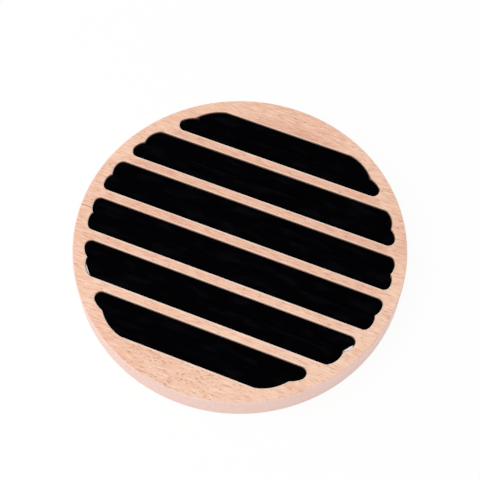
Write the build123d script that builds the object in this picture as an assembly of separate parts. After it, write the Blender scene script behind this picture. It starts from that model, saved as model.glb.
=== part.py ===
"""Round wooden display tray: a solid board with parallel pockets, each holding a pad of two velvet
rolls with a slit between them.

Frame: millimetres, +Z up, origin at the centre of the board's underside. The pockets run along X,
and the rows are numbered from the back (+Y) to the front (-Y).
"""

import os
from math import hypot, sqrt

from build123d import *

# Driving dimensions of the board
board_diameter = 180.0
board_thickness = 18.0
rim_bevel = 0.6  # bevel on the board's top and bottom edges
rim_width = 7.9  # wood left between the ends of the pockets and the board's edge

# Driving dimensions of the pockets
row_pitch = 25.3
pocket_width = 19.6
pocket_depth = 13.0
pocket_corner = 3.6  # cutter round in the pocket's four corners
end_bulge = 1.6  # how far each half of a pocket's end swells out past its chord
cusp_round = 1.0  # round on the wooden point between the two halves of an end
mouth_bevel = 0.4  # bevel round the mouth of each pocket

# Driving dimensions of the pads
pad_clearance = 0.25  # gap between a pad and its pocket's wall, all round
slit_gap = 0.4  # gap between the two rolls of a pad
card_thickness = 1.2
card_inset = 0.3  # the card is cut this much smaller than the rolls that stand on it
card_snip = 4.5  # length snipped off along each edge at the card's four corners
roll_recess = 0.2  # how far a roll's crown lies below the board's top
roll_shoulder = 1.7  # round along the top edges of a roll
slit_corner = 1.8  # round at a roll's ends on the side of the slit
velvet_thickness = 0.7
end_fold = 1.3  # thickness of the velvet at a roll's ends, where it is folded over
foam_bevel = 0.8  # bevel along the two long top edges of the foam
foam_snip = 2.4  # length snipped off along each edge at the foam's four corners
bare_foam = 1.0  # length of white foam that the velvet leaves bare at a short-cut end

# Rolls whose velvet was cut short, as (row, roll, side)
short_cut_ends = {(5, "near", "left"), (5, "far", "right")}

pocket_floor = board_thickness - pocket_depth
card_top = pocket_floor + card_thickness
roll_top = board_thickness - roll_recess
end_radius = board_diameter / 2 - rim_width

# As many rows as fit, each at least twice as long on its short side as it is wide
row_reach = sqrt(end_radius**2 - pocket_width**2)
row_count = int((2 * row_reach - pocket_width) // row_pitch) + 1


def row_centre(row):
    """Y of a row's middle line, where its slit is."""
    return row_pitch * ((row_count + 1) / 2 - row)


def end_point(radius, y, side):
    """Point at height y on the circle that the ends follow, on the left or the right."""
    x = sqrt(radius**2 - y**2)
    return (x if side == "right" else -x, y)


def end_edge(low, high, bulge, side):
    """One half of an end: straight if bulge is 0, or else an arc that swells out by that much."""
    if bulge == 0:
        return Line(low, high)
    chord_x, chord_y = high[0] - low[0], high[1] - low[1]
    outward = bulge / hypot(chord_x, chord_y) * (1 if side == "right" else -1)
    middle = (
        (low[0] + high[0]) / 2 + chord_y * outward,
        (low[1] + high[1]) / 2 - chord_x * outward,
    )
    return ThreePointArc(low, middle, high)


def strip_face(y_low, y_high, ends):
    """Flat outline of a strip along X, sharp cornered. ends holds, for its left and right end, the
    radius of the circle on which the end's two corners lie, and the bulge between them."""
    corners, end_edges = {}, {}
    for side, (radius, bulge) in ends.items():
        corners[side] = end_point(radius, y_low, side), end_point(radius, y_high, side)
        end_edges[side] = end_edge(*corners[side], bulge, side)
    near_side = Line(corners["left"][0], corners["right"][0])
    far_side = Line(corners["right"][1], corners["left"][1])
    return make_face([near_side, end_edges["right"], far_side, end_edges["left"]])


def corners_at(outline, y):
    """The corners of an outline that lie on the line at height y."""
    return outline.vertices().filter_by(lambda v: abs(v.Y - y) < 1e-6)


def pocket_face(row):
    """Outline of a pocket: two bulging halves, with a rounded point of wood between their ends."""
    middle = row_centre(row)
    low, high = middle - pocket_width / 2, middle + pocket_width / 2
    ends = {side: (end_radius, end_bulge) for side in ("left", "right")}
    outline = (strip_face(low, middle, ends) + strip_face(middle, high, ends)).clean()
    outline = fillet(corners_at(outline, low), pocket_corner)
    outline = fillet(corners_at(outline, high), pocket_corner)
    return fillet(corners_at(outline, middle), cusp_round)


def roll_span(row, roll, inset):
    """Y of the two sides of a roll, first on the slit and then on the pocket's wall, drawn in by
    inset."""
    outward = 1 if roll == "far" else -1
    slit_side = row_centre(row) + outward * (slit_gap / 2 + inset)
    wall_side = row_centre(row) + outward * (pocket_width / 2 - pad_clearance - inset)
    return slit_side, wall_side


def make_board():
    """The board: a round slab with bevelled edges and one pocket for each row."""
    board = extrude(Circle(board_diameter / 2), board_thickness)
    board = chamfer(board.edges().filter_by(GeomType.CIRCLE), rim_bevel)
    for row in range(1, row_count + 1):
        board -= Pos(0, 0, pocket_floor) * extrude(pocket_face(row), pocket_depth)
    mouths = board.faces().sort_by(Axis.Z)[-1].inner_wires()
    return chamfer([edge for mouth in mouths for edge in mouth.edges()], mouth_bevel)


def make_card(row):
    """The card strip that carries a pad's two rolls, lying on the pocket's floor."""
    inset = pad_clearance + card_inset
    middle = row_centre(row)
    half = pocket_width / 2 - inset
    ends = {side: (end_radius - inset, 0) for side in ("left", "right")}
    outline = strip_face(middle - half, middle + half, ends)
    outline = chamfer(outline.vertices(), card_snip)
    return Pos(0, 0, pocket_floor) * extrude(outline, card_thickness)


def make_foam(row, roll):
    """The foam core of a roll: a bevelled strip, cut straight at its ends, with snipped corners. It
    reaches further at an end where it is bare."""
    full = end_radius - pad_clearance
    ends = {}
    for side in ("left", "right"):
        bare = (row, roll, side) in short_cut_ends
        ends[side] = (full if bare else full - end_fold, 0)
    outline = strip_face(*sorted(roll_span(row, roll, velvet_thickness)), ends)
    outline = chamfer(outline.vertices(), foam_snip)
    block = extrude(outline, roll_top - velvet_thickness - card_top)
    long_edges = block.faces().sort_by(Axis.Z)[-1].edges().filter_by(Axis.X)
    return Pos(0, 0, card_top) * chamfer(long_edges, foam_bevel)


def make_velvet(row, roll, foam):
    """The velvet that is drawn over a roll's foam and down to the card, with a rounded crown."""
    full = end_radius - pad_clearance
    ends = {}
    for side in ("left", "right"):
        short = (row, roll, side) in short_cut_ends
        ends[side] = (full - bare_foam, 0) if short else (full, end_bulge)
    slit_side, wall_side = roll_span(row, roll, 0)
    outline = strip_face(*sorted((slit_side, wall_side)), ends)
    outline = fillet(corners_at(outline, slit_side), slit_corner)
    outline = fillet(corners_at(outline, wall_side), pocket_corner - pad_clearance)
    block = extrude(outline, roll_top - card_top)
    top_edges = block.faces().sort_by(Axis.Z)[-1].edges()
    return Pos(0, 0, card_top) * fillet(top_edges, roll_shoulder) - foam


os.makedirs("parts", exist_ok=True)
export_step(make_board(), "parts/tray_board.step")
for row in range(1, row_count + 1):
    export_step(make_card(row), f"parts/card_row_{row}.step")
    for roll in ("far", "near"):
        foam = make_foam(row, roll)
        export_step(foam, f"parts/foam_{roll}_row_{row}.step")
        export_step(make_velvet(row, roll, foam), f"parts/velvet_{roll}_row_{row}.step")
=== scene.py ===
# %% [markdown]
# # A round wooden display tray
#
# The tray is a thick beech board with six long pockets. Each pocket holds a pad: two rolls of
# foam, side by side on a strip of card, each wrapped in black velvet, with a narrow slit between
# them. The board and the cards come ready made with the frame, so this lesson gives them a
# finish, and models the soft rolls in full.

from math import cos, radians, sin, sqrt

import bmesh
import bpy
from mathutils import Matrix, Vector, noise


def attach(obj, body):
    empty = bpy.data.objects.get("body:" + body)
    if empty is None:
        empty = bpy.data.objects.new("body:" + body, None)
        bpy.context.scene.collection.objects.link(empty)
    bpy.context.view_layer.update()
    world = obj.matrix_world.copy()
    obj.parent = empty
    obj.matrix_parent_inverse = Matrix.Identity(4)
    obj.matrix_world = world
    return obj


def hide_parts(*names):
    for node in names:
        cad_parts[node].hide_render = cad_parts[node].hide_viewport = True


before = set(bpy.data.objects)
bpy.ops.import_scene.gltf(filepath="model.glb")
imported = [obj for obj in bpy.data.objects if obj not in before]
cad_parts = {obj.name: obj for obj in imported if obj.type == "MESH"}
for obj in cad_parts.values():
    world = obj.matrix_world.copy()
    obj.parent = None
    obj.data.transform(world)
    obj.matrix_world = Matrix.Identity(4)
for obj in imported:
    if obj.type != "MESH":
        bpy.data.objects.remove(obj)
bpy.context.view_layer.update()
mm = 0.001

# %% [markdown]
# ## The camera
#
# A catalogue picture of a flat tray is taken from high in front, turned a little, so that the
# rows run across it at a slant. The place of such a camera could be found by hand, but a round
# rim and straight rows give it away: the rim's ellipse gives the height, and the slant of the
# rows gives the turn. A long lens keeps the ellipse nearly free of perspective.

# %% Place the camera
TURN, HEIGHT, TILT = radians(21.632), radians(64.2187), radians(-0.3137)
DISTANCE = 0.66858
ASIDE, ALOFT = 0.000126, 0.009333  # how far the camera is moved across its own view
IMAGE_PIXELS, FOCAL_PIXELS = 480, 1213.138
SENSOR_WIDTH = 36  # in millimetres
NEAREST, FARTHEST = 0.05, 20

towards = Vector((sin(TURN) * cos(HEIGHT), -cos(TURN) * cos(HEIGHT), sin(HEIGHT)))
across = Vector((cos(TURN), sin(TURN), 0))
upwards = towards.cross(across)
right = across * cos(TILT) - upwards * sin(TILT)
up = across * sin(TILT) + upwards * cos(TILT)

camera_data = bpy.data.cameras.new("camera")
camera_data.sensor_width = SENSOR_WIDTH
camera_data.lens = camera_data.sensor_width * FOCAL_PIXELS / IMAGE_PIXELS
camera_data.clip_start, camera_data.clip_end = NEAREST, FARTHEST
camera = bpy.data.objects.new("camera", camera_data)
bpy.context.scene.collection.objects.link(camera)
camera_place = towards * DISTANCE + right * ASIDE + up * ALOFT
camera_axes = Matrix((right, up, towards)).transposed().to_4x4()
camera.matrix_world = Matrix.Translation(camera_place) @ camera_axes
bpy.context.scene.camera = camera
print("camera at", [round(v, 4) for v in camera_place], "lens", round(camera_data.lens, 2), "mm")

# %% [markdown]
# ## Helpers for materials
#
# Every finish here is a small node tree. A tree could be clicked together by hand, but in a
# script a few helpers keep it readable: one starts a material with its shader, one adds a node,
# sets its values and joins its inputs in a single line, and the others name what is done most
# often, such as mixing two colours.

# %% Start a material, and add a node to it
def new_finish(name, roughness, **settings):
    """A material with a Principled shader: the material, its node tree and the shader."""
    material = bpy.data.materials.new(name)
    material.use_nodes = True
    tree = material.node_tree
    shader = tree.nodes["Principled BSDF"]
    shader.inputs["Roughness"].default_value = roughness
    for socket, value in settings.items():
        shader.inputs[socket.replace("_", " ")].default_value = value
    return material, tree, shader


def add(tree, kind, inputs=None, **settings):
    """A node of that kind, with its settings, and with values or other sockets on its inputs."""
    node = tree.nodes.new("ShaderNode" + kind)
    for name, value in settings.items():
        setattr(node, name, value)
    for key, value in (inputs or {}).items():
        if isinstance(value, bpy.types.NodeSocket):
            tree.links.new(value, node.inputs[key])
        else:
            node.inputs[key].default_value = value
    return node


# %% Sums, fades and colours
def arithmetic(tree, operation, *values):
    """The result of a Math node."""
    return add(tree, "Math", dict(enumerate(values)), operation=operation).outputs[0]


def product(tree, first, *others):
    """Several values multiplied together."""
    for other in others:
        first = arithmetic(tree, "MULTIPLY", first, other)
    return first


def fade(tree, value, start, end, low=0.0, high=1.0):
    """A value that goes smoothly from low at start to high at end."""
    inputs = {"Value": value, "From Min": start, "From Max": end, "To Min": low, "To Max": high}
    return add(tree, "MapRange", inputs, interpolation_type="SMOOTHSTEP").outputs[0]


def mix_colours(tree, factor, first, second, blend="MIX"):
    """The result of mixing two colours."""
    inputs = {"Factor": factor, 6: first, 7: second}
    return add(tree, "Mix", inputs, data_type="RGBA", blend_type=blend).outputs[2]


# %% Patterns, bumps, and putting a finish on a piece
def stretched(tree, place, per_metre):
    """Object coordinates times so many per metre along X, Y and Z."""
    return add(tree, "Mapping", {"Vector": place, "Scale": per_metre}).outputs[0]


def noise_at(tree, place, per_metre, detail, roughness=0.5):
    """A noise with so many waves per metre along X, Y and Z."""
    inputs = {"Vector": stretched(tree, place, per_metre), "Scale": 1.0, "Detail": detail,
              "Roughness": roughness}
    return add(tree, "TexNoise", inputs).outputs["Fac"]


def raise_surface(tree, shader, height, strength, distance):
    """A bump that lifts the surface where height is high."""
    bump = add(tree, "Bump", {"Height": height, "Strength": strength, "Distance": distance})
    tree.links.new(bump.outputs[0], shader.inputs["Normal"])


def give(piece, material):
    """Makes a material the only one of a piece."""
    piece.data.materials.clear()
    piece.data.materials.append(material)


# %% [markdown]
# ## Beech: the long grain
#
# Beech is pale and close grained, and its long grain shows as fine streaks along the rows. A
# picture of a board could be wrapped round it, but a pattern that fills the space of the board
# runs on over the edge and down the rim and the pockets' walls, as the grain of a solid board
# does. Noise that is stretched along X makes the streaks, and a slow sway keeps them from being
# quite straight.

# %% Streaks along the board
SWAY = 4 * mm
WARM, PALE = (0.842, 0.497, 0.352, 1), (0.905, 0.590, 0.432, 1)
TAN_STREAK, DARK_STREAK = (0.800, 0.440, 0.300, 1), (0.610, 0.300, 0.195, 1)
BRIGHT_STREAK = (0.985, 0.745, 0.600, 1)


def swayed_place(tree, place):
    """Object coordinates that wander slowly across the grain."""
    x, y, z = add(tree, "SeparateXYZ", {0: place}).outputs
    sway = noise_at(tree, place, (14, 30, 30), 1.0)
    swayed = arithmetic(tree, "MULTIPLY_ADD", sway, SWAY, y)
    return add(tree, "CombineXYZ", {0: x, 1: swayed, 2: z}).outputs[0]


def long_grain(tree, place, wood_place):
    """The colour of the plain wood, and the fine noise that its streaks follow."""
    fine = noise_at(tree, wood_place, (190, 1650, 1650), 2.0, 0.7)
    broad = noise_at(tree, wood_place, (9, 150, 150), 3.0)
    patch = noise_at(tree, place, (18, 26, 26), 2.0)
    colour = mix_colours(tree, fade(tree, patch, 0.3, 0.7), WARM, PALE)
    colour = mix_colours(tree, fade(tree, broad, 0.52, 0.80, 0, 0.55), colour, TAN_STREAK)
    colour = mix_colours(tree, fade(tree, fine, 0.50, 0.72, 0, 0.75), colour, DARK_STREAK)
    colour = mix_colours(tree, fade(tree, fine, 0.50, 0.30, 0, 0.70), colour, BRIGHT_STREAK)
    return colour, fine


# %% [markdown]
# ## Beech: flecks and one dark line
#
# The rays of beech show as short brown flecks, thick in some places and missing in others. Dots
# of noise would be too soft for them. The cores of long thin Voronoi cells have clear edges, and
# each cell has a random colour of its own, so a slow noise can decide how many of them are kept.
# One thin dark line of grain runs in from the rim by the left end of the fourth row.

# %% Ray flecks and the dark line
FLECK_BROWN, LINE_BROWN = (0.360, 0.135, 0.085, 1), (0.330, 0.130, 0.085, 1)
FRONT_SHARE, FLECK_STRENGTH = 0.62, 0.75
LINE_Y, LINE_STRENGTH = -10.4 * mm, 0.85


def spot_on_board(tree, place):
    """X, Y and Z of a point, and how far out it is from the middle of the board."""
    x, y, z = add(tree, "SeparateXYZ", {0: place}).outputs
    flat_place = add(tree, "CombineXYZ", {0: x, 1: y, 2: 0.0}).outputs[0]
    out = add(tree, "VectorMath", {0: flat_place}, operation="LENGTH").outputs["Value"]
    return x, y, z, out


def ray_flecks(tree, place, wood_place, spot):
    """How much of a fleck there is. There are most in the middle of the front segment."""
    x, y, _, _ = spot
    cells = add(tree, "TexVoronoi", {"Vector": stretched(tree, wood_place, (330, 1350, 1350)),
                                     "Scale": 1.0, "Randomness": 1.0}).outputs
    core = fade(tree, cells["Distance"], 0.36, 0.16)
    chosen = add(tree, "SeparateXYZ", {0: cells["Color"]}).outputs[0]
    front = product(tree, fade(tree, y, -70 * mm, -76 * mm),
                    fade(tree, x, -36 * mm, -26 * mm), fade(tree, x, 30 * mm, 12 * mm))
    share = noise_at(tree, place, (30, 60, 60), 1.0)
    elsewhere = fade(tree, share, 0.5, 0.8, 0.05, 0.40)
    allowed = arithmetic(tree, "MULTIPLY_ADD", front, FRONT_SHARE, elsewhere)
    kept = arithmetic(tree, "LESS_THAN", chosen, allowed)
    return product(tree, core, kept, FLECK_STRENGTH)


def dark_line(tree, spot):
    """How much of the dark line there is. It fades out at the end of the row and down the rim."""
    x, y, z, _ = spot
    from_line = arithmetic(tree, "ABSOLUTE", arithmetic(tree, "SUBTRACT", y, LINE_Y))
    return product(tree, fade(tree, from_line, 0.36 * mm, 0.12 * mm),
                   fade(tree, x, -81.5 * mm, -83.5 * mm),
                   fade(tree, z, 15.0 * mm, 17.6 * mm), LINE_STRENGTH)


# %% [markdown]
# ## Beech: tones, and painted light and shade, by their place
#
# One board isn't of one tone: where the rim cuts the fibres, the wood is paler and pinker. The
# bars between the rows grow a little darker towards the back. Light and shade are painted round
# the pockets too: the bevel round each pocket has painted shade, brown, where it faces the front,
# and a painted highlight, pale, where it faces the back. A narrow strip of painted highlight runs
# beside it on the top, and the pockets' walls are browner with painted shade. These tones could
# be painted on the faces, but the board comes from the frame and its mesh is left alone, so they
# are worked out from where a point is and which way it faces.

# %% Measures and tones
PITCH = 25.3 * mm  # from one row to the next
DEEPER = (0.910, 0.830, 0.815, 1)  # the bars' colour is multiplied by this at the back
RIM_PINK, RIM_STREAK = (1.0, 0.735, 0.680, 1), (0.810, 0.520, 0.470, 1)
# Painted shade on the bevels that face the front: lighter for the front rows, darker for the back.
PAINTED_SHADE_FRONT, PAINTED_SHADE_BACK = (0.340, 0.205, 0.150, 1), (0.120, 0.070, 0.050, 1)
# The colours below are painted highlights: on the bevels that face the back, and on a strip beside
# them.
PAINTED_BEVEL_HIGHLIGHT, PAINTED_STRIP_HIGHLIGHT = (1.0, 0.900, 0.790, 1), (1.0, 0.860, 0.700, 1)
# Painted shade on the pockets' walls and, a little, on their floors.
PAINTED_WALL_SHADE = (0.36, 0.165, 0.095, 1)
FLAT_TOP, ON_BEVEL = 17.97 * mm, 17.88 * mm  # the top is above the first, bevels below the second
ROW_END_LEAN = -0.035  # a row's side that is away from the board's middle reaches further out


# %% The bars, the rim and the edges of the pockets
def deepen_bars(tree, spot, colour):
    """Darker bars between the rows, more and more towards the back."""
    _, y, _, out = spot
    deeper = product(tree, fade(tree, y, -65 * mm, 40 * mm, 0.15, 1.0),
                     fade(tree, out, 82.0 * mm, 76.5 * mm))
    return mix_colours(tree, deeper, colour, DEEPER, "MULTIPLY")


def tint_rim(tree, rim, colour, fine):
    """Paler and pinker wood on the rim, with its own streaks."""
    pink = mix_colours(tree, 0.70, colour, RIM_PINK)
    pink = mix_colours(tree, fade(tree, fine, 0.46, 0.68, 0, 0.50), pink, RIM_STREAK)
    return mix_colours(tree, rim, colour, pink)


def paint_bevel_shade_and_highlight(tree, spot, inside, colour):
    """Painted shade and painted highlight on the bevels round the pockets, by the way they face.
    """
    _, y, z, _ = spot
    mouth = product(tree, fade(tree, z, FLAT_TOP, ON_BEVEL), inside, 0.9)
    normal = add(tree, "NewGeometry").outputs["True Normal"]
    facing_back = add(tree, "SeparateXYZ", {0: normal}).outputs[1]
    painted_shade = mix_colours(tree, fade(tree, y, -40 * mm, 30 * mm), PAINTED_SHADE_FRONT, PAINTED_SHADE_BACK)
    bevel = mix_colours(tree, fade(tree, facing_back, -0.35, 0.25), painted_shade, PAINTED_BEVEL_HIGHLIGHT)
    return mix_colours(tree, mouth, colour, bevel)


def paint_highlight_strip(tree, spot, colour):
    """A narrow strip of painted highlight on the top, along both sides of each row."""
    _, y, z, out = spot
    in_row = arithmetic(tree, "SUBTRACT", arithmetic(tree, "FLOORED_MODULO", y, PITCH), PITCH / 2)
    from_slit = arithmetic(tree, "ABSOLUTE", in_row)
    strip = product(tree, fade(tree, from_slit, 10.10 * mm, 10.20 * mm),
                    fade(tree, from_slit, 10.85 * mm, 10.55 * mm))
    lean = product(tree, arithmetic(tree, "SIGN", in_row), y)
    leaning_out = arithmetic(tree, "MULTIPLY_ADD", lean, ROW_END_LEAN, out)
    row_end = fade(tree, leaning_out, 80.0 * mm, 78.8 * mm)
    highlight_share = product(tree, strip, row_end, fade(tree, z, ON_BEVEL, FLAT_TOP), 0.45)
    return mix_colours(tree, highlight_share, colour, PAINTED_STRIP_HIGHLIGHT)


def paint_wall_shade(tree, spot, inside, colour):
    """Painted shade in the pockets: browner walls, and only slightly browner floors."""
    _, _, z, _ = spot
    wall = product(tree, fade(tree, z, 17.6 * mm, 17.2 * mm),
                   fade(tree, z, 5.0 * mm, 7.5 * mm, 0.15, 1.0), inside)
    shaded_wall = mix_colours(tree, 0.5, colour, PAINTED_WALL_SHADE)
    return mix_colours(tree, wall, colour, shaded_wall)


# %% The whole finish of the board
def beech():
    """Satin beech: long grain along X, ray flecks, tones that change with the place, and painted
    light and shade round the pockets.
    """
    material, tree, shader = new_finish("beech", 0.52)
    place = add(tree, "TexCoord").outputs["Object"]
    wood_place = swayed_place(tree, place)
    spot = spot_on_board(tree, place)
    *_, out = spot
    rim = fade(tree, out, 89.2 * mm, 89.7 * mm)
    inside = arithmetic(tree, "SUBTRACT", 1.0, rim)

    colour, fine = long_grain(tree, place, wood_place)
    fleck = ray_flecks(tree, place, wood_place, spot)
    colour = mix_colours(tree, fleck, colour, FLECK_BROWN)
    colour = mix_colours(tree, dark_line(tree, spot), colour, LINE_BROWN)
    colour = deepen_bars(tree, spot, colour)
    colour = tint_rim(tree, rim, colour, fine)
    # Painted light and shade: on the bevels, in a strip beside them, and on the pockets' walls.
    colour = paint_bevel_shade_and_highlight(tree, spot, inside, colour)
    colour = paint_highlight_strip(tree, spot, colour)
    colour = paint_wall_shade(tree, spot, inside, colour)
    tree.links.new(colour, shader.inputs["Base Color"])

    tree.links.new(fade(tree, fine, 0.3, 0.7, 0.60, 0.46), shader.inputs["Roughness"])
    height = arithmetic(tree, "SUBTRACT", fine, product(tree, fleck, 0.8))
    raise_surface(tree, shader, height, 0.25, 0.12 * mm)
    return material


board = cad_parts["tray_board"]
give(board, beech())
print("board:", len(board.data.polygons), "facets")

# %% [markdown]
# ## Card
#
# A pad's two rolls are glued to a strip of stiff card. It shows only as a white edge below the
# velvet, when a pad is lifted out. White card is never one flat colour: it is pressed from
# fibres, so it is a little mottled and has a soft tooth.

# %% Finish of the cards
CARD_GREY, CARD_WHITE = (0.78, 0.76, 0.71, 1), (0.86, 0.85, 0.81, 1)


def card():
    """Uncoated white card with a mottle of pressed fibres."""
    material, tree, shader = new_finish("card", 0.85)
    place = add(tree, "TexCoord").outputs["Object"]
    fibres = noise_at(tree, place, (900, 2600, 2600), 4.0)
    colour = mix_colours(tree, fade(tree, fibres, 0.3, 0.7), CARD_GREY, CARD_WHITE)
    tree.links.new(colour, shader.inputs["Base Color"])
    raise_surface(tree, shader, fibres, 0.3, 0.08 * mm)
    return material


card_finish = card()
card_nodes = sorted(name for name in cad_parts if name.startswith("card_"))
for name in card_nodes:
    give(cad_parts[name], card_finish)
print("cards:", len(card_nodes))

# %% [markdown]
# ## Velvet and foam
#
# Velvet is a woven cloth with a pile of short upright threads. Light falls into the pile and
# stays there, so black velvet is the blackest thing in a picture, with only a thin bloom where
# the pile is seen from the side. A plain black paint would look like rubber: the bloom comes from
# the shader's sheen, and the uneven pile from a bump and a slow change of tone. The foam inside
# is white, with fine pores.

# %% Finishes of the velvet and the foam
VELVET_DEEP, VELVET_BRUSHED = (0.0003, 0.0003, 0.0007, 1), (0.0021, 0.0020, 0.0031, 1)
VELVET_TIPS = (0.0030, 0.0028, 0.0044, 1)
SHEEN_TINT = (0.40, 0.40, 0.55, 1)
PORE_GREY, FOAM_WHITE = (0.74, 0.74, 0.78, 1), (0.95, 0.95, 0.97, 1)
THREADS, PORES = 3200.0, 1500.0  # per metre


def velvet():
    """Black short-pile velvet with a faint bloom, brushed unevenly."""
    material, tree, shader = new_finish(
        "velvet", 0.95, Sheen_Weight=0.055, Sheen_Roughness=0.25, Sheen_Tint=SHEEN_TINT,
        Specular_IOR_Level=0.01)
    place = add(tree, "TexCoord").outputs["Object"]
    brushed = noise_at(tree, place, (70, 240, 240), 2.0)
    pile = add(tree, "TexNoise", {"Vector": place, "Scale": THREADS, "Detail": 2.0}).outputs["Fac"]
    colour = mix_colours(tree, fade(tree, brushed, 0.48, 0.72), VELVET_DEEP, VELVET_BRUSHED)
    colour = mix_colours(tree, fade(tree, pile, 0.5, 0.75, 0, 0.5), colour, VELVET_TIPS)
    tree.links.new(colour, shader.inputs["Base Color"])
    raise_surface(tree, shader, pile, 0.7, 0.15 * mm)
    return material


def foam():
    """White open-cell foam with fine pores."""
    material, tree, shader = new_finish("foam", 0.9)
    place = add(tree, "TexCoord").outputs["Object"]
    pores = add(tree, "TexVoronoi", {"Vector": place, "Scale": PORES}).outputs["Distance"]
    colour = mix_colours(tree, fade(tree, pores, 0.15, 0.5), PORE_GREY, FOAM_WHITE)
    tree.links.new(colour, shader.inputs["Base Color"])
    raise_surface(tree, shader, pores, 0.6, 0.2 * mm)
    return material


velvet_finish, foam_finish = velvet(), foam()
print("finishes:", velvet_finish.name, "and", foam_finish.name)

# %% [markdown]
# ## The shape of a roll
#
# A roll starts as a flat strip. Its two ends follow the round of the board, so its four corners
# lie on one circle, and each end swells out between its corners, as foam does when cloth is
# pulled over it. The strip could be drawn point by point, but it is less work to start from its
# four corners and let the tools do the rest: a cut along each end gives points to push outwards.
# A bevel would round the corners, but at a sharp one it reaches out too far. Straight cuts that
# touch the corner's circle never leave the strip.

# %% The end of a strip, and the round of a corner
CORNER_CUTS = 8


def end_arc(low, high, swell, sign):
    """Centre and radius of the arc that swells outwards between two corners of an end."""
    chord = high - low
    half = chord.length / 2
    outward = Vector((chord.y, -chord.x, 0)).normalized() * sign
    radius = (half**2 + swell**2) / (2 * swell)
    return (low + high) / 2 + outward * (swell - radius), radius


def trim_corner(strip, arc, y_side, inward, corner, sign):
    """Trims a corner to a round, by straight cuts that touch a circle of that radius. The circle
    lies against the side at y_side and against the arc of the end."""
    centre, radius = arc
    pivot_y = y_side + inward * corner
    reach = sqrt((radius - corner) ** 2 - (pivot_y - centre.y) ** 2)
    pivot = Vector((centre.x + sign * reach, pivot_y, 0))
    from_side, from_end = Vector((0, -inward, 0)), (pivot - centre).normalized()
    for cut in range(CORNER_CUTS):
        facing = from_side.slerp(from_end, (cut + 0.5) / CORNER_CUTS)
        bmesh.ops.bisect_plane(strip, geom=strip.verts[:] + strip.edges[:] + strip.faces[:],
                               plane_co=pivot + facing * corner, plane_no=facing,
                               clear_outer=True)


# %% A strip with swelling ends
SIDES = {"left": -1, "right": 1}
END_CUTS = 11
SAME = 1e-7  # lengths that differ by less than this are the same


def flat_strip(y_low, y_high, ends, corner_radii):
    """A flat strip as a bmesh, with swelling ends and rounded corners. ends holds, for its left
    and right end, the radius of the circle on which its corners lie, and how far it swells.
    corner_radii are those on the sides at y_low and y_high."""
    corners = {}
    for side, sign in SIDES.items():
        corners[side] = [Vector((sign * sqrt(ends[side][0] ** 2 - y**2), y, 0))
                         for y in (y_low, y_high)]
    arcs = {side: end_arc(*corners[side], ends[side][1], sign) for side, sign in SIDES.items()}

    strip = bmesh.new()
    outline = corners["left"][:1] + corners["right"] + corners["left"][1:]
    strip.faces.new([strip.verts.new(corner) for corner in outline])
    end_edges = [e for e in strip.edges if abs(e.verts[0].co.y - e.verts[1].co.y) > SAME]
    cut = bmesh.ops.subdivide_edges(strip, edges=end_edges, cuts=END_CUTS)
    for vertex in [v for v in cut["geom_inner"] if isinstance(v, bmesh.types.BMVert)]:
        centre, radius = arcs["right" if vertex.co.x > 0 else "left"]
        vertex.co = centre + (vertex.co - centre).normalized() * radius

    for side, sign in SIDES.items():
        trim_corner(strip, arcs[side], y_low, 1, corner_radii[0], sign)
        trim_corner(strip, arcs[side], y_high, -1, corner_radii[1], sign)
    return strip


# %% [markdown]
# ## From the strip to a block
#
# The strip is extruded to the height of the roll, and a bevel along all the edges of the top
# gives the rounded crown. A plain box with a bevel would be quicker, but its ends would be
# straight, and they are what is seen of a roll when its pad is lifted.

# %% A block with a rounded crown
CROWN_SEGMENTS = 5


def roll_block(y_low, y_high, ends, z_low, z_high, corner_radii, shoulder):
    """A closed block over a strip, with rounded corners and a rounded crown."""
    block = flat_strip(y_low, y_high, ends, corner_radii)
    top = bmesh.ops.extrude_face_region(block, geom=block.faces[:])
    lifted = [v for v in top["geom"] if isinstance(v, bmesh.types.BMVert)]
    bmesh.ops.translate(block, verts=lifted, vec=(0, 0, z_high - z_low))
    bmesh.ops.translate(block, verts=block.verts[:], vec=(0, 0, z_low))
    bmesh.ops.recalc_face_normals(block, faces=block.faces[:])
    crown_edges = [e for e in block.edges if all(v.co.z > z_high - SAME for v in e.verts)]
    bmesh.ops.bevel(block, geom=crown_edges, offset=shoulder, offset_type="OFFSET",
                    affect="EDGES", segments=CROWN_SEGMENTS, profile=0.5, material=-1,
                    clamp_overlap=True)
    return block


def as_object(name, mesh_builder):
    """A bmesh as an object in the scene."""
    mesh = bpy.data.meshes.new(name)
    mesh_builder.to_mesh(mesh)
    mesh_builder.free()
    piece = bpy.data.objects.new(name, mesh)
    bpy.context.scene.collection.objects.link(piece)
    return piece


# %% [markdown]
# ## From a block to cloth over foam
#
# A bevelled block is too crisp for foam. A voxel remesh lays an even net of small faces over it,
# fine enough to carry soft shapes, and those are then pressed in by moving its points: the crown
# falls away towards the slit, the cloth is drawn in a little above the card, and it gathers in
# shallow tucks round the ends, where it is folded over. A cloth simulation could do this too, but
# these rolls are firm and narrow and held on five sides, so there is little for it to find.

# %% Remesh a block
SMOOTHING, SMOOTH_ROUNDS = 0.5, 4


def apply_modifiers(piece):
    """Replaces a piece's mesh by the mesh that its modifiers make."""
    depsgraph = bpy.context.evaluated_depsgraph_get()
    finished = bpy.data.meshes.new_from_object(piece.evaluated_get(depsgraph))
    piece.modifiers.clear()
    old = piece.data
    piece.data = finished
    bpy.data.meshes.remove(old)


def remesh(piece, voxel):
    """An even net of faces over the piece, smoothed a little."""
    net = piece.modifiers.new("net", "REMESH")
    net.mode, net.voxel_size, net.use_smooth_shade = "VOXEL", voxel, True
    smooth = piece.modifiers.new("smooth", "SMOOTH")
    smooth.factor, smooth.iterations = SMOOTHING, SMOOTH_ROUNDS
    apply_modifiers(piece)


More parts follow.
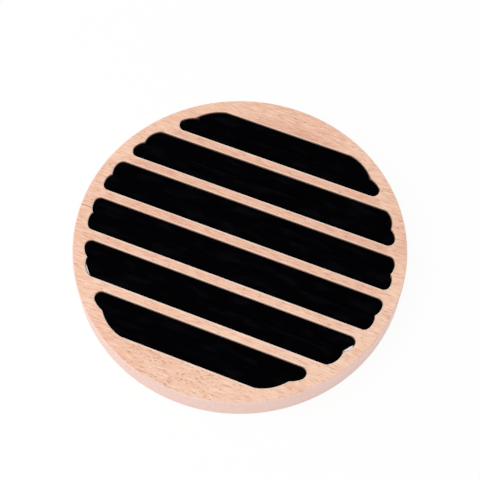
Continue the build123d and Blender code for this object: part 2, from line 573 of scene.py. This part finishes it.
# %% Soften a block
ROWS = range(1, 7)
POCKET_HALF = 9.8 * mm
POCKET_END = 82.1 * mm  # radius of the circle on which the pockets' ends lie
CARD_TOP, CROWN = 6.2 * mm, 17.85 * mm
VALLEY_DEPTH, VALLEY_WIDTH = 1.1 * mm, 3.6 * mm
VALLEY_LOST = 0.8  # share of the valley that is gone at a roll's ends
TUCK_DEPTH, TUCK_REACH, TUCK_SPACING = 0.22 * mm, 5.0 * mm, 2.1 * mm
DRAWN_IN, WAIST_HEIGHT = 0.25 * mm, 3 * mm
WAVE = 0.10 * mm
WAVES_ALONG, WAVES_ACROSS = 45, 140  # per metre
WAVE_STEP, TUCK_STEP, END_STEP = 7.3, 3.1, 5.0  # how far apart in the noise two rolls or ends are


def row_middle(row):
    """Y of a row's slit."""
    return PITCH * ((len(ROWS) + 1) / 2 - row)


def soften(piece, row, roll, inset, seed):
    """Presses the soft shapes of a roll into its net of faces."""
    slit_y = row_middle(row)
    towards_slit = -1 if roll == "far" else 1
    roll_y = slit_y - towards_slit * POCKET_HALF / 2
    half_height = (CROWN - CARD_TOP) / 2
    for vertex in piece.data.vertices:
        x, y, z = vertex.co
        sign = 1 if x > 0 else -1
        height = min(max((z - CARD_TOP - half_height) / half_height, 0), 1)
        from_slit = abs(y - slit_y)
        end = max(0, 1 - (POCKET_END - sqrt(x * x + y * y)) / TUCK_REACH)
        valley = max(0, 1 - from_slit / VALLEY_WIDTH) ** 2 * VALLEY_DEPTH * height**2
        valley *= 1 - VALLEY_LOST * min(end, 1)
        ripple = noise.noise(Vector((x * WAVES_ALONG, y * WAVES_ACROSS, seed * WAVE_STEP)))
        wave = ripple * WAVE * height
        around = noise.noise(Vector((y / TUCK_SPACING, seed * TUCK_STEP, sign * END_STEP)))
        tuck = max(0, around) * 2 * TUCK_DEPTH * min(end, 1) ** 1.5
        waist = DRAWN_IN * max(0, 1 - (z - CARD_TOP) / WAIST_HEIGHT) ** 2
        inward_y = 1 if y < roll_y else -1
        across_share = min(abs(y - roll_y) / (POCKET_HALF / 2 - inset), 1) ** 4
        vertex.co.z = z - valley - abs(wave) - tuck * height
        vertex.co.y = y + inward_y * waist * across_share
        vertex.co.x = x - (tuck + waist * end) * sign


# %% [markdown]
# ## The twelve rolls
#
# Each roll is made twice: once as the foam core, and once as the velvet over it, which is a thin
# cover, open below where it is glued to the card. One solid block with a velvet finish would look
# the same at rest, but in the fifth row the velvet was cut too short at one end of each roll, and
# a sliver of white foam shows there. Each piece rides with its pad, so that it lifts out with it.

# %% Sizes of the rolls
GAP = 0.12 * mm  # between the velvet and the pocket's wall
SLIT_HALF = 0.2 * mm
VELVET = 0.6 * mm
CORE_GAP = 0.15 * mm  # between the foam and the velvet over it
END_FOLD = 1.3 * mm
SWELL = 1.6 * mm
WALL_CORNER, SLIT_CORNER = 3.5 * mm, 1.2 * mm
COVER_ROUND, CORE_ROUND = 1.1 * mm, 1.0 * mm
VELVET_VOXEL, FOAM_VOXEL = 0.45 * mm, 0.6 * mm
SHORT_CUT = {(5, "near", "left"): 1.0 * mm, (5, "far", "right"): 1.6 * mm}


def roll_sides(row, roll, inset):
    """Lower and upper Y of a roll, and the corner radii on those sides."""
    slit, wall = SLIT_HALF + inset, POCKET_HALF - GAP - inset
    if roll == "far":
        return row_middle(row) + slit, row_middle(row) + wall, (SLIT_CORNER, WALL_CORNER)
    return row_middle(row) - wall, row_middle(row) - slit, (WALL_CORNER, SLIT_CORNER)


print("from row to row:", round(PITCH / mm, 1), "mm, short-cut ends:", len(SHORT_CUT))

# %% The velvet of a roll
DRAW_REACH = 6 * mm  # how far in from a short-cut end the velvet is drawn back
DRAW_SLOPE, DRAW_START = 2.2, 0.5
HEM_CUT, HEM_LIFT = 0.3 * mm, 0.02 * mm  # heights over the card


def draw_back(cover, row, roll, y_low, y_high):
    """Draws the velvet back from a short-cut end, more and more towards the front of the end."""
    for side, sign in SIDES.items():
        short = SHORT_CUT.get((row, roll, side), 0)
        if short == 0:
            continue
        for vertex in cover.data.vertices:
            x, y, _ = vertex.co
            if x * sign < 0:
                continue
            end = min(max(0, 1 - (POCKET_END - sqrt(x * x + y * y)) / DRAW_REACH), 1)
            front = min(max(0, (y_high - y) / (y_high - y_low) * DRAW_SLOPE - DRAW_START), 1)
            vertex.co.x = x - sign * short * end * front * front * (3 - 2 * front)


def open_below(cover):
    """Cuts the bottom off a cover and brings its hem down to the card."""
    shell = bmesh.new()
    shell.from_mesh(cover.data)
    bmesh.ops.bisect_plane(shell, geom=shell.verts[:] + shell.edges[:] + shell.faces[:],
                           plane_co=(0, 0, CARD_TOP + HEM_CUT), plane_no=(0, 0, 1),
                           clear_inner=True)
    for vertex in [v for v in shell.verts if v.is_boundary]:
        vertex.co.z = CARD_TOP + HEM_LIFT
    shell.to_mesh(cover.data)
    shell.free()


def make_cover(row, roll, seed):
    """The velvet of one roll: a thin open cover."""
    y_low, y_high, radii = roll_sides(row, roll, 0)
    ends = {side: (POCKET_END - GAP, SWELL) for side in SIDES}
    block = roll_block(y_low, y_high, ends, CARD_TOP, CROWN, radii, COVER_ROUND)
    cover = as_object(f"velvet_cover_{roll}_row_{row}", block)
    remesh(cover, VELVET_VOXEL)
    soften(cover, row, roll, 0, seed)
    draw_back(cover, row, roll, y_low, y_high)
    open_below(cover)
    thickness = cover.modifiers.new("thickness", "SOLIDIFY")
    thickness.thickness, thickness.offset = VELVET, -1
    return cover


# %% The foam of a roll
def make_core(row, roll, seed):
    """The foam core of one roll. It reaches further at an end where it is bare."""
    inset = VELVET + CORE_GAP
    y_low, y_high, radii = roll_sides(row, roll, inset)
    ends = {}
    for side in SIDES:
        fold = 0 if (row, roll, side) in SHORT_CUT else END_FOLD
        ends[side] = (POCKET_END - GAP - fold, SWELL)
    block = roll_block(y_low, y_high, ends, CARD_TOP, CROWN - inset, radii, CORE_ROUND)
    core = as_object(f"foam_core_{roll}_row_{row}", block)
    remesh(core, FOAM_VOXEL)
    soften(core, row, roll, inset, seed)
    return core


# %% Make every roll
piece_count = 0
for row in ROWS:
    for roll in ("far", "near"):
        seed = row * 2 + (roll == "near")
        body = f"pad_row_{row}"
        cover = make_cover(row, roll, seed)
        core = make_core(row, roll, seed)
        for piece, finish, kind, slot in ((cover, velvet_finish, "velvet", "black_velvet"),
                                          (core, foam_finish, "foam", "white_foam")):
            give(piece, finish)
            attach(piece, body)
            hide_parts(f"{kind}_{roll}_row_{row}")
            piece_count += 1
        print("row", row, roll, "faces:", len(cover.data.polygons), len(core.data.polygons))
print("soft pieces:", piece_count)

# %% [markdown]
# ## The floor and the light
#
# A catalogue picture has a white ground that hardly shows a shadow. Strong lamps could bleach the
# floor, but they would bleach the wood too. So the floor is white card: the camera sees it mostly
# as plain white, while the light that falls on the tray still bounces off it, and a trace of the
# tray's shadow stays. The whole room is a soft white light, with one large lamp overhead and to
# the left that gives the rolls and the rim their shape.

# %% Floor
FLOOR_DROP = 0.3 * mm  # the floor lies this far below the tray, so that no faces share a plane
FLOOR_HALF = 4.0
PLAIN_SHARE = 0.92  # how much of the floor the camera sees as plain white


def sees_plain_white(tree):
    """1 for the rays that meet plain white: the camera's, and those in gloss and glass."""
    rays = add(tree, "LightPath").outputs
    mirrored = arithmetic(tree, "MAXIMUM", rays["Is Glossy Ray"], rays["Is Transmission Ray"])
    return arithmetic(tree, "MAXIMUM", rays["Is Camera Ray"], mirrored)


def ground():
    """White ground: plain white to the camera and in reflections, with a trace of shadow."""
    material, tree, shader = new_finish("ground", 0.9, Base_Color=(0.97, 0.97, 0.97, 1),
                                        Specular_IOR_Level=0.1)
    white = add(tree, "Emission", {"Color": (1, 1, 1, 1), "Strength": 1.0})
    share = product(tree, sees_plain_white(tree), PLAIN_SHARE)
    both = add(tree, "MixShader", {0: share, 1: shader.outputs[0], 2: white.outputs[0]})
    tree.links.new(both.outputs[0], tree.nodes["Material Output"].inputs["Surface"])
    return material


floor_mesh = bmesh.new()
bmesh.ops.create_grid(floor_mesh, x_segments=4, y_segments=4, size=FLOOR_HALF)
bmesh.ops.translate(floor_mesh, verts=floor_mesh.verts[:], vec=(0, 0, -FLOOR_DROP))
floor = as_object("floor", floor_mesh)
floor.data.materials.append(ground())
print("floor:", len(floor.data.polygons), "faces,", FLOOR_DROP / mm, "mm below the tray")

# %% World
ROOM_COLOUR, ROOM_STRENGTH = (1.0, 0.985, 0.97, 1), 0.62

world = bpy.data.worlds.new("studio")
bpy.context.scene.world = world
world.use_nodes = True
room = world.node_tree
light = room.nodes["Background"]
light.inputs["Color"].default_value = ROOM_COLOUR
light.inputs["Strength"].default_value = ROOM_STRENGTH
plain = add(room, "Background", {"Color": (1, 1, 1, 1), "Strength": 1.0})
both = add(room, "MixShader", {0: sees_plain_white(room), 1: light.outputs[0],
                               2: plain.outputs[0]})
room.links.new(both.outputs[0], room.nodes["World Output"].inputs["Surface"])
print("room light:", ROOM_STRENGTH)

# %% Lamp
LAMP_SIZE, LAMP_POWER = 0.9, 4.7
LAMP_PLACE = Vector((-0.35, -0.28, 0.84))

lamp_data = bpy.data.lights.new("softbox", "AREA")
lamp_data.shape, lamp_data.size, lamp_data.size_y = "RECTANGLE", LAMP_SIZE, LAMP_SIZE
lamp_data.energy = LAMP_POWER
lamp = bpy.data.objects.new("softbox", lamp_data)
bpy.context.scene.collection.objects.link(lamp)
lamp_turn = (-LAMP_PLACE).to_track_quat("-Z", "Y").to_matrix().to_4x4()
lamp.matrix_world = Matrix.Translation(LAMP_PLACE) @ lamp_turn

bpy.context.scene.view_settings.view_transform = "Standard"
print("lamp:", LAMP_POWER, "W,", round(LAMP_PLACE.length, 2), "m from the tray")
